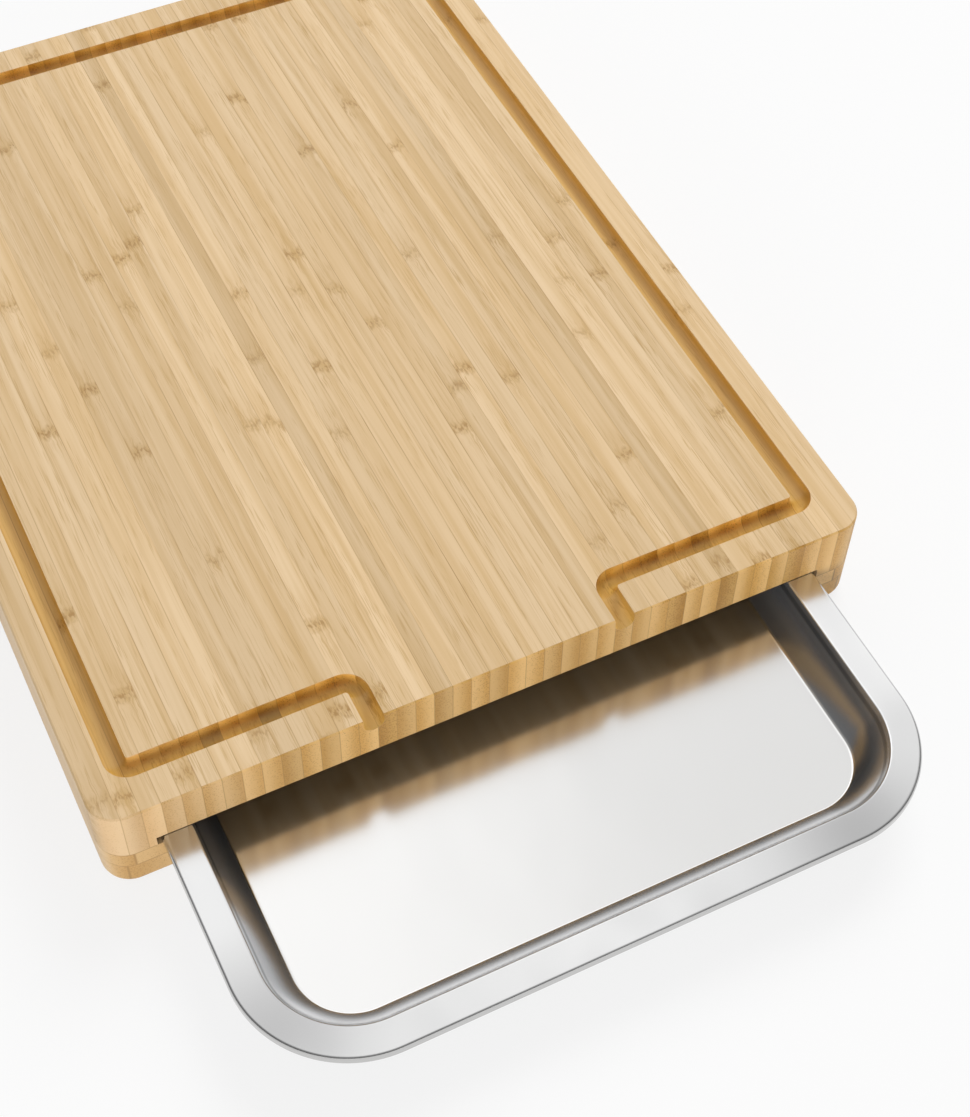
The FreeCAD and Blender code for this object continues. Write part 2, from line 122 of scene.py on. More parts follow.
# tones (middle and spread), tones of the cut ends, and how many dark fibres there are
LATH_TONES = (0.985, 0.03)
DARK_LATH_TONE = 0.96
LATH_END_TONES = (0.90, 1.10)
DARK_LATH_END_TONE = 0.84
LATH_SPECKS = (0.0, 0.5)
DARK_LATH_SPECKS = 1.0
RAIL_TONES = (0.98, 0.03)
RAIL_SPECKS = 0.35
LEFT_RAIL_END = {"end_tone": 0.90, "pale_end": 0.2}
# the other rails' cut ends are paler as painted light, for the right rail's end that the tray
# shades from the fill
OTHER_RAIL_END_PAINTED_LIGHT = {"end_tone": 1.15, "pale_end": 0.0}

# bamboo, from the palest fibres to the knuckles, and the specks of its cut ends
PALE = (0.790, 0.588, 0.358)
MIDDLE = (0.665, 0.458, 0.232)
DEEP = (0.500, 0.302, 0.100)
BROWN = (0.370, 0.205, 0.060)
SPECK = (0.330, 0.155, 0.028)
WOOD_ROUGHNESS = 0.46
WOOD_RELIEF = 0.00005
LINE_DIP, DASH_DIP = -0.5, -0.6
# how much of the normal points along the fibres on an end, and across them on a side
END_FACE = (0.30, 0.75)
SIDE_FACE = (0.5, 0.85)
# tints of a cut end, at the culm's inside and at its skin, and how they meet
GOLDEN_END = ((0.900, 0.755, 0.470), (0.720, 0.535, 0.230))
DARK_END = ((0.900, 0.700, 0.330), (0.700, 0.480, 0.150))
# paler cut ends, which the first laths from the left fade to
PALE_END_TINTS = ((0.94, 0.89, 0.83), (0.84, 0.74, 0.60))
SKIN_RAGGED = 0.3
SKIN_EDGE = (0.1, 0.95)
# bundles: width and length in mm, a speck's size in its cell and the solid share of it, and its
# depth: at least, how much deeper where fibres are dense, and how much less on a pale end
BUNDLE_WIDTH = 0.78
BUNDLE_LENGTH = 40.0
SPECK_SIZE = 0.22
SPECK_CORE = 0.4
SPECK_DEPTH, SPECK_DENSE, SPECK_PALE = 0.42, 0.24, 0.15
# streaks: size across and along in mm, detail, own part of the noise, and where they show
BROAD_BANDS = (3.6, 190.0, 2.0, 0.0, (0.28, 0.74))
DASH_GROUPS = (2.2, 48.0, 2.0, 31.0, (0.44, 0.62))
DASHES = (0.42, 13.0, 1.0, 7.0, (0.50, 0.66))
FINE_STREAKS = (0.62, 70.0, 2.0, 53.0, (0.48, 0.74))
FINE_GROUPS = (3.2, 95.0, 1.0, 77.0, (0.40, 0.60))
# how streaks wander: scales across and along beside a knuckle, and along a lath, with their mm
SWAY_SCALE = (0.5, 0.22)
SWAY_MM = 2.0
DRIFT_SCALE = 0.008
DRIFT_MM = 1.6
# how far the marks go to the darker colour, with more for dashes where fibres are dense
GROWTH_DEPTH = 0.16
FINE_DEPTH = 0.40
DASH_DEPTH, DASH_DENSE = 0.42, 0.25
PATCH_DEPTH = 0.34
MOTTLE_DEPTH = 0.46
# knuckles: range of spacings, slants and raggedness, then how far from one its masks reach
KNUCKLE_SPACING = (170, 270)
KNUCKLE_SKEW = (0.22, 0.60)
KNUCKLE_RAGGED = (5.0, 13.0)
KNUCKLE_BEND = (2.0, 18.0)
KNUCKLE_PATCH = (1.2, 4.6)
KNUCKLE_LINE = (0.3, 1.3)
KNUCKLE_TAIL = (1.0, 26.0)
# how much a knuckle's shape changes with height, and how many more dashes are beside it
KNUCKLE_HEIGHT = 0.15
KNUCKLE_DASHES = 0.7
# span and least of a knuckle's place on its stretch and of its strength
KNUCKLE_PLACE = (0.5, 0.25)
KNUCKLE_STRENGTH = (0.95, 0.40)
# mottling of a knuckle: size across and along in mm, and where it shows in the patch and line
MOTTLE_SIZE = (0.9, 2.4)
MOTTLED_PATCH = (0.46, 0.62)
MOTTLED_LINE = (0.40, 0.56)
# shifts that keep random values at one place apart
STRENGTH_SHIFT, GROWTH_SHIFT, GLUE_SHIFT = 9.0, 5.0, 9.0
# glue lines: width in mm and strength on the cut ends, their core, and patches along the lath
PANEL_GLUE = (0.28, 0.55)
PLY_GLUE = (0.70, 0.90)
GLUE_STRENGTH = (0.35, 0.80)
GLUE_CORE = 0.04
GLUE_PATCH_SCALE = 0.03
GLUE_PATCH_EDGE = (0.30, 0.62)
OUT_OF_REACH = 5.0    # mm, far wider than a glue line
# juice groove, in mm: where it can start from a side and from an end of the panel, the depths
# where its painted shade starts and ends, the leg across the grain as inset from an end, and its
# bed
SIDE_STRIP = (10.0, 10.4)
END_STRIP = (0.02, 0.10)
SHADE_START = (0.05, 1.0)
SHADE_END = (9.0, 8.0)
CROSS_LEG = ((12.5, 14.5), (21.5, 24.0))
BED_DEPTH = (2.0, 5.2)
# how much of the normal points up on its sides and on its bed
BED_FACE = (0.30, 0.92)
# painted shade in the groove, as tints of the bed, browner from top to bottom, of the bed across
# the grain and where that is burnt, and of the sides and end-grain sides
BED_ALONG_SHADE = ((0.97, 0.96, 0.90, 1.0), (0.90, 0.80, 0.46, 1.0))
BED_ACROSS_SHADE = (0.88, 0.72, 0.27)
BURNT_LEVEL = 0.66
GROOVE_SIDE_SHADE = ((0.86, 0.70, 0.28, 1.0), (1.10, 1.02, 0.62, 1.0))

Knuckle = namedtuple("Knuckle", "wave near patch line tail growth mark")


# ---------------------------------------------------------------- node tree helper

class Tree:
    """Short calls for building a material's nodes."""

    def __init__(self, tree):
        self.tree = tree
        tree.nodes.clear()

    def add(self, kind, **settings):
        node = self.tree.nodes.new(kind)
        for key, value in settings.items():
            setattr(node, key, value)
        return node

    def put(self, value, socket):
        if isinstance(value, bpy.types.NodeSocket):
            self.tree.links.new(value, socket)
        else:
            socket.default_value = value

    def math(self, operation, *values, clamp=False):
        node = self.add("ShaderNodeMath", operation=operation, use_clamp=clamp)
        for value, socket in zip(values, node.inputs):
            self.put(value, socket)
        return node.outputs[0]

    def mix(self, factor, one, other, blend="MIX"):
        node = self.add("ShaderNodeMix", data_type="RGBA", blend_type=blend)
        self.put(factor, node.inputs["Factor"])
        self.put(one, node.inputs["A"])
        self.put(other, node.inputs["B"])
        return node.outputs["Result"]

    def combine(self, x, y, z):
        node = self.add("ShaderNodeCombineXYZ")
        for value, socket in zip((x, y, z), node.inputs):
            self.put(value, socket)
        return node.outputs[0]

    def noise(self, vector, detail=2.0):
        node = self.add("ShaderNodeTexNoise")
        self.put(vector, node.inputs["Vector"])
        node.inputs["Scale"].default_value = 1.0
        node.inputs["Detail"].default_value = detail
        return node.outputs["Fac"]

    def cells(self, vector):
        node = self.add("ShaderNodeTexVoronoi", feature="F1")
        self.put(vector, node.inputs["Vector"])
        node.inputs["Scale"].default_value = 1.0
        return node.outputs["Distance"]

    def white(self, x, y):
        node = self.add("ShaderNodeTexWhiteNoise", noise_dimensions="3D")
        self.put(self.combine(x, y, 0.0), node.inputs["Vector"])
        return node.outputs["Value"]

    def ramp(self, value, low, high):
        """0 below low, 1 above high and smooth between; the ends may be sockets."""
        node = self.add("ShaderNodeMapRange", interpolation_type="SMOOTHSTEP")
        self.put(value, node.inputs["Value"])
        self.put(low, node.inputs["From Min"])
        self.put(high, node.inputs["From Max"])
        return node.outputs["Result"]

    def invert(self, value):
        return self.math("SUBTRACT", 1.0, value)

    def pulse(self, value, rise, fall):
        """1 between two smooth flanks, each given by its start and its end."""
        return self.math("SUBTRACT", self.ramp(value, *rise), self.ramp(value, *fall))

    def separate(self, vector):
        node = self.add("ShaderNodeSeparateXYZ")
        self.put(vector, node.inputs[0])
        return node.outputs

    def place(self):
        """The shaded point in the object's own metres."""
        return self.add("ShaderNodeTexCoord").outputs["Object"]

    def dot(self, one, other):
        node = self.add("ShaderNodeVectorMath", operation="DOT_PRODUCT")
        self.put(one, node.inputs[0])
        self.put(other, node.inputs[1])
        return node.outputs["Value"]

    def background_rays(self):
        """(1 for a ray that shows the background, 1 for a glossy ray)."""
        rays = self.add("ShaderNodeLightPath").outputs
        shown = self.math("MAXIMUM", rays["Is Camera Ray"],
                          self.math("MAXIMUM", rays["Is Glossy Ray"],
                                    rays["Is Transmission Ray"]))
        return shown, rays["Is Glossy Ray"]


def new_material(name):
    material = bpy.data.materials.new(name)
    material.use_nodes = True
    return material, Tree(material.node_tree)


def finish_material(tree, color, roughness, bump, bump_distance, metallic=0.0):
    shader = tree.add("ShaderNodeBsdfPrincipled")
    tree.put(color, shader.inputs["Base Color"])
    tree.put(roughness, shader.inputs["Roughness"])
    tree.put(metallic, shader.inputs["Metallic"])
    relief = tree.add("ShaderNodeBump")
    relief.inputs["Strength"].default_value = 1.0
    relief.inputs["Distance"].default_value = bump_distance
    tree.put(bump, relief.inputs["Height"])
    tree.put(relief.outputs["Normal"], shader.inputs["Normal"])
    output = tree.add("ShaderNodeOutputMaterial")
    tree.put(shader.outputs["BSDF"], output.inputs["Surface"])


# ---------------------------------------------------------------- bamboo

def scaled(color, level):
    return tuple(channel * level for channel in color) + (1.0,)


def mixed(one, other, share, level):
    """Colour between two others, times a level."""
    return scaled([a * (1 - share) + b * share for a, b in zip(one, other)], level)


def find_knuckles(t, rng, seed, run, across, z):
    """Masks round the knuckles: one on every stretch of the culm, at each lath's own places."""
    spacing = rng.uniform(*KNUCKLE_SPACING)
    steps = t.math("ADD", t.math("DIVIDE", run, spacing), seed)
    cell = t.math("FLOOR", steps)
    centre = t.math("MULTIPLY_ADD", t.white(cell, seed), *KNUCKLE_PLACE)
    wave = t.noise(t.combine(t.math("MULTIPLY", across, rng.uniform(*KNUCKLE_SKEW)), seed,
                             t.math("MULTIPLY", z, KNUCKLE_HEIGHT)))
    off = t.math("MULTIPLY", t.math("SUBTRACT", t.math("SUBTRACT", steps, cell), centre), spacing)
    off = t.math("MULTIPLY_ADD", t.math("SUBTRACT", wave, 0.5), rng.uniform(*KNUCKLE_RAGGED), off)
    reach = t.math("ABSOLUTE", off)
    beyond = t.math("GREATER_THAN", off, 0.0)
    mark = t.math("MULTIPLY_ADD", t.white(cell, seed + STRENGTH_SHIFT), *KNUCKLE_STRENGTH)
    return Knuckle(
        wave=wave,
        near=t.invert(t.ramp(reach, *KNUCKLE_BEND)),
        patch=t.math("MULTIPLY", t.invert(t.ramp(reach, *KNUCKLE_PATCH)), mark),
        line=t.invert(t.ramp(reach, *KNUCKLE_LINE)),
        tail=t.math("MULTIPLY", beyond, t.invert(t.ramp(off, *KNUCKLE_TAIL))),
        growth=t.white(t.math("ADD", cell, beyond), seed + GROWTH_SHIFT),
        mark=mark)


def find_streaks(t, seed, run, across, z, near):
    """(broad bands, short dark dashes, fine streaks), bent a little beside a knuckle."""
    sway = t.noise(t.combine(t.math("MULTIPLY", across, SWAY_SCALE[0]),
                             t.math("MULTIPLY", run, SWAY_SCALE[1]), seed), detail=1.0)
    bent = t.math("MULTIPLY_ADD", t.math("MULTIPLY", near, t.math("SUBTRACT", sway, 0.5)),
                  SWAY_MM, across)
    drift = t.noise(t.combine(t.math("MULTIPLY", run, DRIFT_SCALE), seed, 0.0), detail=1.0)
    bent = t.math("MULTIPLY_ADD", drift, DRIFT_MM, bent)

    def fibres(across_mm, run_mm, detail, shift, edge):
        pattern = t.combine(t.math("DIVIDE", bent, across_mm), t.math("DIVIDE", run, run_mm),
                            t.math("MULTIPLY_ADD", z, 1 / across_mm, seed + shift))
        return t.ramp(t.noise(pattern, detail=detail), *edge)

    dashes = t.math("MULTIPLY", fibres(*DASHES),
                    t.math("ADD", fibres(*DASH_GROUPS),
                           t.math("MULTIPLY", near, KNUCKLE_DASHES)), clamp=True)
    fine = t.math("MULTIPLY", fibres(*FINE_STREAKS), fibres(*FINE_GROUPS))
    return fibres(*BROAD_BANDS), dashes, fine


def cut_end(t, seed, place, share, wave, tone, end_tone, pale_end, specks, dark):
    """Ends of the fibres: golden, with a dark speck for each bundle, denser at the skin.

    share runs from the culm's inside to its skin, and wave makes that change ragged.
    """
    run, across, z = place
    bundle = t.cells(t.combine(t.math("DIVIDE", across, BUNDLE_WIDTH),
                               t.math("DIVIDE", run, BUNDLE_LENGTH),
                               t.math("MULTIPLY_ADD", z, 1 / BUNDLE_WIDTH, seed)))
    size = t.math("MULTIPLY_ADD", share, SPECK_SIZE, SPECK_SIZE + SPECK_SIZE * specks)
    dots = t.invert(t.ramp(bundle, t.math("MULTIPLY", size, SPECK_CORE), size))
    ragged = t.ramp(t.math("MULTIPLY_ADD", t.math("SUBTRACT", wave, 0.5), SKIN_RAGGED, share),
                    *SKIN_EDGE)
    inner, outer = (mixed(own, paler, pale_end, end_tone)
                    for own, paler in zip(DARK_END if dark else GOLDEN_END, PALE_END_TINTS))
    cut = t.mix(1.0, scaled(PALE, tone), t.mix(ragged, inner, outer), blend="MULTIPLY")
    depth = SPECK_DEPTH + SPECK_DENSE * specks - SPECK_PALE * pale_end
    return t.mix(t.math("MULTIPLY", dots, depth), cut, scaled(SPECK, tone))


def bamboo(name, box, rng, along="Y", tone=1.0, end_tone=1.0, pale_end=0.0, specks=0.3,
           dark=False, panel=None, burnt=False):
    """Material of one bamboo lath.

    box is the lath's lowest and highest corner in mm.  Fibres run along one axis, so the same
    pattern gives streaks on the sides and specks on the ends.  panel holds the panel's corners
    for a lath of the panel, which the juice groove may cross.  A lath without it is a rail's,
    and glued at its top too.
    """
    material, t = new_material(name)
    low, high = box
    x, y, z = (t.math("MULTIPLY", metres, 1 / MM) for metres in t.separate(t.place()))
    normal = t.separate(t.add("ShaderNodeNewGeometry").outputs["Normal"])
    run, across, axis = (y, x, 0) if along == "Y" else (x, y, 1)
    end = t.ramp(t.math("ABSOLUTE", normal[1 - axis]), *END_FACE)
    sideways = t.ramp(t.math("ABSOLUTE", normal[axis]), *SIDE_FACE)

    seed = rng.uniform(0, 900)
    share = t.math("DIVIDE", t.math("SUBTRACT", across, low[axis]), high[axis] - low[axis])
    if rng.random() < 0.5:
        share = t.invert(share)
    knuckle = find_knuckles(t, rng, seed, run, across, z)
    broad, dashes, fine = find_streaks(t, seed, run, across, z, knuckle.near)

    pale, middle, deep, brown = (scaled(color, tone) for color in (PALE, MIDDLE, DEEP, BROWN))
    color = t.mix(broad, pale, middle)
    color = t.mix(t.math("MULTIPLY_ADD", knuckle.tail, GROWTH_DEPTH,
                         t.math("MULTIPLY", knuckle.growth, GROWTH_DEPTH)), color, deep)
    color = t.mix(t.math("MULTIPLY", fine, FINE_DEPTH), color, deep)
    color = t.mix(t.math("MULTIPLY", dashes, DASH_DEPTH + DASH_DENSE * specks), color, deep)

    # knuckle: a mottled brown patch with a ragged darker line across the fibres
    mottle = t.noise(t.combine(t.math("DIVIDE", across, MOTTLE_SIZE[0]),
                               t.math("DIVIDE", run, MOTTLE_SIZE[1]),
                               t.math("MULTIPLY_ADD", z, 1.0, seed)))
    line = t.math("MULTIPLY", knuckle.line, t.ramp(mottle, *MOTTLED_LINE))
    color = t.mix(t.math("MULTIPLY", knuckle.patch, PATCH_DEPTH), color, deep)
    for mask, by in ((knuckle.patch, t.ramp(mottle, *MOTTLED_PATCH)), (line, knuckle.mark)):
        color = t.mix(t.math("MULTIPLY", t.math("MULTIPLY", mask, by), MOTTLE_DEPTH), color,
                      brown)

    color = t.mix(end, color, cut_end(t, seed, (run, across, z), share, knuckle.wave, tone,
                                      end_tone, pale_end, specks, dark))

    # glue lines at the lath's edges, but not over a bare side face, and on top of a ply
    seam = t.math("MINIMUM", t.math("SUBTRACT", across, low[axis]),
                  t.math("SUBTRACT", high[axis], across))
    seam = t.math("MULTIPLY_ADD", sideways, OUT_OF_REACH, seam)
    if not panel:
        seam = t.math("MINIMUM", seam, t.math("ABSOLUTE", t.math("SUBTRACT", z, high[2])))
    width, at_ends = PANEL_GLUE if panel else PLY_GLUE
    patchy = t.noise(t.combine(t.math("MULTIPLY", run, GLUE_PATCH_SCALE), seed, GLUE_SHIFT),
                     detail=1.0)
    strength = t.math("MULTIPLY", t.ramp(patchy, *GLUE_PATCH_EDGE),
                      rng.uniform(*GLUE_STRENGTH))
    strength = t.math("MAXIMUM", strength, t.math("MULTIPLY", end, at_ends))
    seam = t.invert(t.ramp(seam, GLUE_CORE, width))
    color = t.mix(t.math("MULTIPLY", seam, strength, clamp=True), color, brown)

    # painted shade inside the juice groove
    if panel:
        color = shade_groove(t, color, end, normal[2], (x, y, z), panel, burnt)
    relief = t.math("MULTIPLY_ADD", line, LINE_DIP, t.math("MULTIPLY", dashes, DASH_DIP))
    finish_material(t, color, WOOD_ROUGHNESS, relief, bump_distance=WOOD_RELIEF)
    return material


def shade_groove(t, color, end, upwards, place, panel, burnt):
    """Wood inside the juice groove, with painted shade: darker and browner with depth, on the
    sides and across the grain.
    """
    x, y, z = place
    low, high = panel
    depth = t.math("SUBTRACT", high[2], z)
    inside = t.ramp(depth, *SHADE_START)
    insets = []
    for value, start, stop, edge in ((x, low[0], high[0], SIDE_STRIP),
                                     (y, low[1], high[1], END_STRIP)):
        inset = t.math("MINIMUM", t.math("SUBTRACT", value, start),
                       t.math("SUBTRACT", stop, value))
        inside = t.math("MULTIPLY", inside, t.ramp(inset, *edge))
        insets.append(inset)
    inside = t.math("MULTIPLY", inside, t.ramp(z, *(high[2] - limit for limit in SHADE_END)))
    steep = t.invert(t.ramp(upwards, *BED_FACE))
    leg_start, leg_end = CROSS_LEG
    across_grain = t.math("MULTIPLY", t.ramp(insets[1], *leg_start),
                          t.invert(t.ramp(insets[1], *leg_end)))
    bed = t.mix(t.ramp(depth, *BED_DEPTH), *BED_ALONG_SHADE)
    bed = t.mix(across_grain, bed, scaled(BED_ACROSS_SHADE, BURNT_LEVEL if burnt else 1.0))
    shade = t.mix(steep, bed, t.mix(end, *GROOVE_SIDE_SHADE))
    return t.mix(inside, color, t.mix(1.0, color, shade, blend="MULTIPLY"))


# ---------------------------------------------------------------- steel

def steel(floor_height, rim_height, middle, half_size):
    """Satin steel: faint clouds on the rim, darker at two corners, the rim darker at the left as
    painted reflection, and inner walls darker and cooler as painted reflection.

    The walls have a painted dark reflection band below the rim, and darken towards the floor as
    painted reflection.
    """
    material, t = new_material("steel_satin")
    place = t.place()
    x, y, z = t.separate(place)
    stretch = t.add("ShaderNodeMapping")
    t.put(place, stretch.inputs["Vector"])
    stretch.inputs["Scale"].default_value = CLOUD_SCALE
    cloud = t.noise(stretch.outputs["Vector"])

    rim = t.ramp(z, *(rim_height - start for start in RIM_START))
    # painted reflection: the rim is darker at the left than at the right
    reflection_to_right = t.ramp(x, *(share * half_size[0] for share in RIM_REFLECTION_CHANGE))
    rim_level = t.math("MULTIPLY_ADD", reflection_to_right, RIM_REFLECTION_RIGHT - RIM_REFLECTION_LEFT, RIM_REFLECTION_LEFT)
    rim_level = t.math("MULTIPLY", rim_level,
                       t.math("MULTIPLY_ADD", t.ramp(cloud, *CLOUD_EDGE), CLOUD_GAIN,
                              CLOUD_BASE))
    # two darker spots on the rim
    for spot in DARK_SPOTS:
        apart = t.add("ShaderNodeVectorMath", operation="DISTANCE")
        t.put(place, apart.inputs[0])
        t.put((middle[0] + spot[0] * half_size[0], middle[1] + spot[1] * half_size[1],
               rim_height), apart.inputs[1])
        away = t.ramp(apart.outputs["Value"], 0.0, DARK_SPOT_RADIUS)
        rim_level = t.math("MULTIPLY", rim_level,
                           t.math("MULTIPLY_ADD", away, 1.0 - DARK_SPOT_LEVEL, DARK_SPOT_LEVEL))

    # an inner wall faces the tray's middle
    outwards = t.combine(t.math("SUBTRACT", x, middle[0]), t.math("SUBTRACT", y, middle[1]), 0.0)
    facing = t.dot(t.add("ShaderNodeNewGeometry").outputs["Normal"], outwards)
    wall = t.math("MULTIPLY", t.ramp(t.math("MULTIPLY", facing, -1.0), *WALL_FACING),
                  t.ramp(z, *(floor_height + start for start in WALL_START)))
    drop = t.math("DIVIDE", t.math("SUBTRACT", rim_height, z), rim_height - floor_height)
    # painted reflection on the inner walls: darker and cooler steel, a dark band below the rim,
    # and darker towards the floor
    wall_reflection = t.math("MULTIPLY_ADD", t.pulse(drop, *REFLECTED_DARK_BAND), REFLECTED_DARK_BAND_GAIN, WALL_BASE)
    wall_reflection = t.math("SUBTRACT", wall_reflection,
                  t.math("MULTIPLY", t.ramp(drop, *WALL_FOOT), WALL_FOOT_LOSS))
    walls = t.combine(*(t.math("MULTIPLY", wall_reflection, channel) for channel in WALL_REFLECTED_STEEL))
    color = t.mix(wall, FLOOR_STEEL, walls)
    color = t.mix(rim, color, t.combine(rim_level, rim_level, rim_level))
    finish_material(t, color, STEEL_ROUGHNESS, cloud, bump_distance=STEEL_RELIEF,
                    metallic=t.math("MULTIPLY_ADD", wall, WALL_METALLIC - 1.0, 1.0))
    return material


def arc_points(centre, radius, start_deg, end_deg):
    """Points along an arc in the section, ends included."""
    steps = max(4, math.ceil(abs(end_deg - start_deg) / ARC_STEP_DEG))
    angles = [math.radians(start_deg + (end_deg - start_deg) * step / steps)
              for step in range(steps + 1)]
    return [(centre[0] + radius * math.cos(angle), centre[1] + radius * math.sin(angle))
            for angle in angles]


def sheet_section(depth):
    """(inwards, height) points in mm of the sheet's upper and lower skin, floor to lip.

    The wall is a hollow arc that touches the rim's bend and the floor's bend.
    """
    edge_centre = Vector((EDGE_BEND, -EDGE_BEND))
    rim_centre = Vector((RIM_WIDTH, -RIM_BEND))
    floor_centre = Vector((RIM_WIDTH + WALL_RUN, FLOOR_BEND - depth))
    to_rim, to_floor = WALL_HOLLOW + RIM_BEND, WALL_HOLLOW - FLOOR_BEND
    span = floor_centre - rim_centre
    along = (to_rim ** 2 - to_floor ** 2 + span.length ** 2) / (2 * span.length)
    aside = math.sqrt(to_rim ** 2 - along ** 2)
    span.normalize()
    wall_centre = rim_centre + span * along + Vector((-span.y, span.x)) * aside

    def heading(start, end):
        return math.degrees(math.atan2(end.y - start.y, end.x - start.x)) % 360

    foot, top = heading(wall_centre, floor_centre), heading(rim_centre, wall_centre)

    def skin(inset):
        return (arc_points(floor_centre, FLOOR_BEND + inset, 270, foot)
                + arc_points(wall_centre, WALL_HOLLOW + inset, foot, top + 180)[1:]
                + arc_points(rim_centre, RIM_BEND - inset, top, 90)[1:]
                + arc_points(edge_centre, EDGE_BEND - inset, 90, 180)
                + [(inset, -LIP)])

    return skin(0), skin(SHEET)


def rim_stations(half_x, half_y, radius):
    """((x, y), outward normal) round a rounded rectangle, anticlockwise."""
    stations = []
    for quarter, (sx, sy) in enumerate(((1, 1), (-1, 1), (-1, -1), (1, -1))):
        centre = (sx * (half_x - radius), sy * (half_y - radius))
        for step in range(CORNER_STEPS + 1):
            angle = math.radians(90 * (quarter + step / CORNER_STEPS))
            normal = (math.cos(angle), math.sin(angle))
            stations.append(((centre[0] + radius * normal[0], centre[1] + radius * normal[1]),
                             normal))
    return stations


def make_tray():
    """The tray again with smooth bends: the section carried round the rim's outline."""
    low, high = ([value / MM for value in corner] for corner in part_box("tray"))
    half_x, half_y = (high[0] - low[0]) / 2, (high[1] - low[1]) / 2
    middle = ((high[0] + low[0]) / 2, (high[1] + low[1]) / 2)
    depth = high[2] - low[2] - SHEET
    upper, lower = sheet_section(depth)
    loop = upper + lower[::-1]
    stations = rim_stations(half_x, half_y, TRAY_CORNER)
    points = [((middle[0] + x - nx * inwards) * MM, (middle[1] + y - ny * inwards) * MM,
               (high[2] + height) * MM)
              for (x, y), (nx, ny) in stations for inwards, height in loop]
    ring, count = len(loop), len(stations)
    faces = [[a * ring + n, b * ring + n, b * ring + n + 1, a * ring + n + 1]
             for a in range(count) for b in [(a + 1) % count] for n in range(ring - 1)]
    faces.append([station * ring for station in range(count)])
    faces.append([station * ring + ring - 1 for station in reversed(range(count))])
    mesh = bpy.data.meshes.new("steel_tray")
    mesh.from_pydata(points, [], faces)
    mesh.validate()
    mesh.shade_smooth()
    mesh.set_sharp_from_angle(angle=math.radians(SHARP_DEG))
    tray = bpy.data.objects.new("steel_tray", mesh)
    bpy.context.collection.objects.link(tray)
    tray.data.materials.append(steel((high[2] - depth) * MM, high[2] * MM,
                                     (middle[0] * MM, middle[1] * MM),
                                     (half_x * MM, half_y * MM)))
    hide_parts("tray")
    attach(tray, "tray")


# ---------------------------------------------------------------- stage

def area_light(name, place, size, watts):
    """A soft square lamp that looks at the origin and doesn't show in gloss."""
    data = bpy.data.lights.new(name, "AREA")
    data.shape = "SQUARE"
    data.size = size
    data.energy = watts
    lamp = bpy.data.objects.new(name, data)
    lamp.location = place
    lamp.rotation_euler = (-Vector(place)).to_track_quat("-Z", "Y").to_euler()
    lamp.visible_glossy = False
    bpy.context.collection.objects.link(lamp)


def make_camera():
    camera_data = bpy.data.cameras.new("camera")
    camera_data.lens = LENS_MM
    camera_data.sensor_width = SENSOR_MM
    camera_data.sensor_fit = "AUTO"
    camera_data.clip_start, camera_data.clip_end = CAMERA_CLIP
    camera = bpy.data.objects.new("camera", camera_data)
    camera.location = CAMERA_PLACE
    camera.rotation_euler = Euler([math.radians(angle) for angle in CAMERA_TURN_DEG], "XYZ")
    bpy.context.collection.objects.link(camera)
    bpy.context.scene.camera = camera
    bpy.context.scene.view_settings.view_transform = "Standard"


def make_world():
    """White for the camera, dimmer as light, and a studio room in gloss."""
    world = bpy.data.worlds.new("studio")
    bpy.context.scene.world = world
    world.use_nodes = True
    t = Tree(world.node_tree)
    shown, glossy = t.background_rays()
    around = t.add("ShaderNodeTexCoord").outputs["Generated"]
    side, back, height = t.separate(around)
    back = t.ramp(back, *BACK_EDGE)
    ceiling = t.math("MULTIPLY_ADD", t.ramp(side, *DIM_SIDE_EDGE), -CEILING_FALL, CEILING_LEVEL)
    ceiling = t.math("MULTIPLY_ADD", back, BACK_RISE, ceiling)
    walls = t.math("MULTIPLY_ADD", t.math("MAXIMUM", height, 0.0), WALL_RISE, WALL_LEVEL)
    lowered = t.math("MULTIPLY_ADD", back, CEILING_DIP, height)
    mirrored = t.math("MULTIPLY_ADD", t.ramp(lowered, *CEILING_EDGE),
                      t.math("SUBTRACT", ceiling, walls), walls)
    window = t.ramp(t.dot(around, WINDOW_PLACE), *WINDOW_EDGE)
    mirrored = t.math("MULTIPLY_ADD", window, WINDOW_LEVEL, mirrored)
    background = t.add("ShaderNodeBackground")
    background.inputs["Color"].default_value = (1, 1, 1, 1)
    level = t.math("MULTIPLY_ADD", shown, 1.0 - WORLD_LEVEL, WORLD_LEVEL)
    t.put(t.mix(glossy, level, mirrored), background.inputs["Strength"])
    output = t.add("ShaderNodeOutputWorld")
    t.put(background.outputs[0], output.inputs["Surface"])


def make_floor():
    """A white floor that keeps the object's shadow."""
    bpy.ops.mesh.primitive_plane_add(size=FLOOR_SIZE, location=(0, 0, -FLOOR_DROP))
    floor = bpy.context.object
    floor.name = "floor"
    material, t = new_material("floor_white")
    shown, _ = t.background_rays()
    diffuse = t.add("ShaderNodeBsdfDiffuse")
    diffuse.inputs["Color"].default_value = FLOOR_COLOR
    glow = t.add("ShaderNodeEmission")
    glow.inputs["Color"].default_value = (1, 1, 1, 1)
    blend = t.add("ShaderNodeMixShader")
    t.put(t.math("MULTIPLY", shown, FLOOR_GLOW), blend.inputs["Fac"])
    t.put(diffuse.outputs[0], blend.inputs[1])
    t.put(glow.outputs[0], blend.inputs[2])
    output = t.add("ShaderNodeOutputMaterial")
    t.put(blend.outputs[0], output.inputs["Surface"])
    floor.data.materials.append(material)


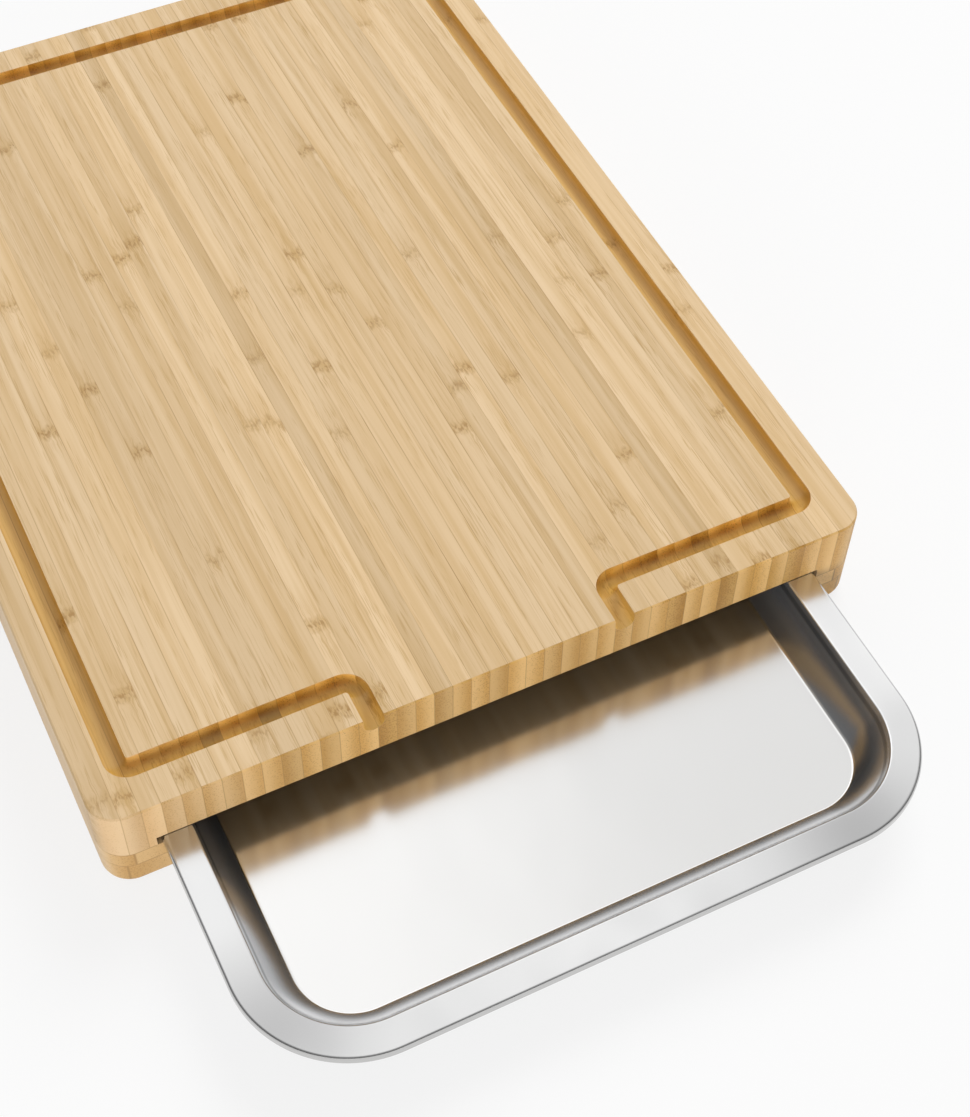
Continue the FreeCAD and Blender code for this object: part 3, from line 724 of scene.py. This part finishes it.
# ---------------------------------------------------------------- dress the frame

def corners_mm(node):
    return tuple([value / MM for value in corner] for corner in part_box(node))


def dress(node, material):
    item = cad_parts[node]
    item.data.materials.clear()
    item.data.materials.append(material)


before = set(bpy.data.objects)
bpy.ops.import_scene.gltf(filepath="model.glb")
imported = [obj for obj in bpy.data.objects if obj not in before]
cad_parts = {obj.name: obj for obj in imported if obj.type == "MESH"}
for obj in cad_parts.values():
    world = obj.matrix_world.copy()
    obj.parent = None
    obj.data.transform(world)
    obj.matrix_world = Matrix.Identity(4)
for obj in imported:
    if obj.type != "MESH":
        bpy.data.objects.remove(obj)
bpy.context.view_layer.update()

laths = sorted(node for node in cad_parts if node.startswith("lath_"))
rails = sorted(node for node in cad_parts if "rail" in node)
ends = [corners_mm(laths[0]), corners_mm(laths[-1]), corners_mm(laths[len(laths) // 2])]
panel_box = ([min(box[0][axis] for box in ends) for axis in range(3)],
             [max(box[1][axis] for box in ends) for axis in range(3)])

rng = random.Random(7)
for number, node in enumerate(laths, start=1):
    dark = number in DARK_LATHS
    tone = rng.gauss(*LATH_TONES) * (DARK_LATH_TONE if dark else 1.0)
    end_tone = DARK_LATH_END_TONE if dark else rng.uniform(*LATH_END_TONES)
    specks = DARK_LATH_SPECKS if dark else rng.uniform(*LATH_SPECKS)
    # lath 1's lower tone is painted shade
    dress(node, bamboo(node, corners_mm(node), rng, tone=tone * OWN_TONES_AND_SHADE.get(number, 1.0),
                       end_tone=end_tone, pale_end=max(0.0, 1.0 - number / PALE_END_LATHS),
                       specks=specks, dark=dark, panel=panel_box,
                       burnt=number in BURNT_LATHS))
# rails but the left one get paler cut ends as painted light
for node in rails:
    dress(node, bamboo(node, corners_mm(node), rng, along="X" if "rear" in node else "Y",
                       tone=rng.gauss(*RAIL_TONES), specks=RAIL_SPECKS,
                       **(LEFT_RAIL_END if "left" in node else OTHER_RAIL_END_PAINTED_LIGHT)))

make_tray()
make_camera()
make_world()
area_light("key", KEY_PLACE, KEY_SIZE, KEY_WATTS)
area_light("fill", FILL_PLACE, FILL_SIZE, FILL_WATTS)
make_floor()
